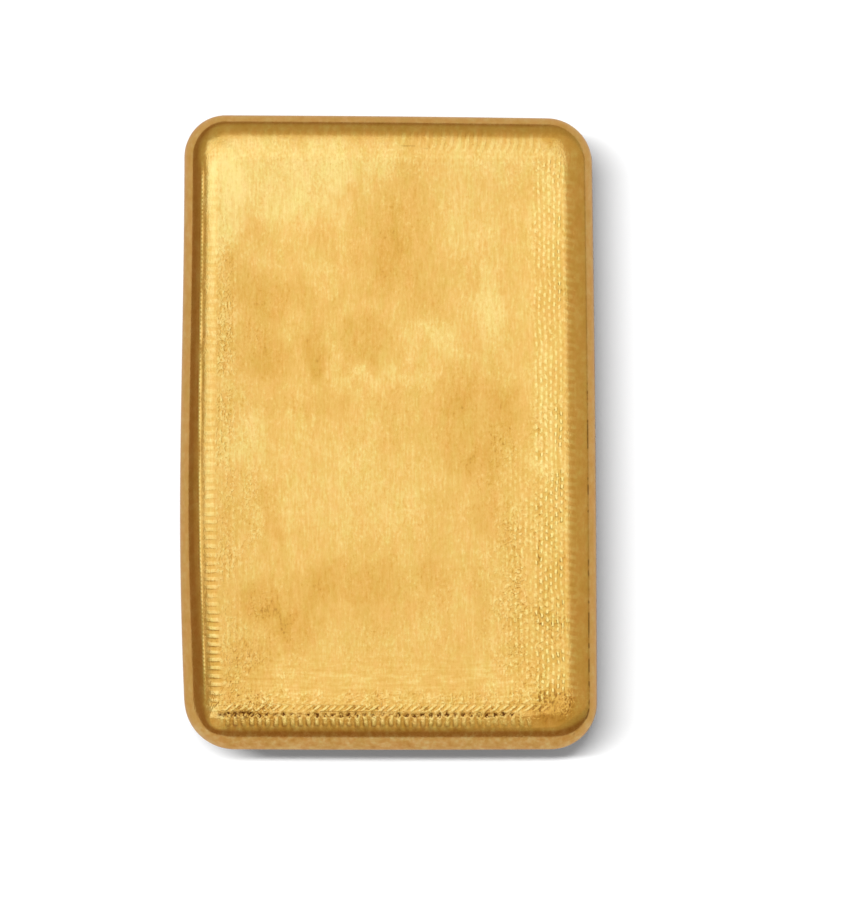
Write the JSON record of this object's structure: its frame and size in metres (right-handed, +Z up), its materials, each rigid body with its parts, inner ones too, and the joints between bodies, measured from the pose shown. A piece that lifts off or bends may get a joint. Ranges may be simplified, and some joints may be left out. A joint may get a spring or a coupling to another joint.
{
  "type": "metal ingot",
  "caption": "Poured gold bar lying flat: a rectangular ingot with rounded corners, drafted sides, a round shoulder and a slightly sunken, rippled face.",
  "frame": {"origin": "on the base plane, under the middle of the bar's bounding box", "axes": "+X across the bar, +Y along it towards its slightly narrower end, +Z up out of the poured face"},
  "size_m": [0.0434, 0.066, 0.0099],
  "materials": {
    "cast_gold": "satin"
  },
  "bodies": {
    "root": {"ingot": "cast_gold"}
  },
  "joints": []
}
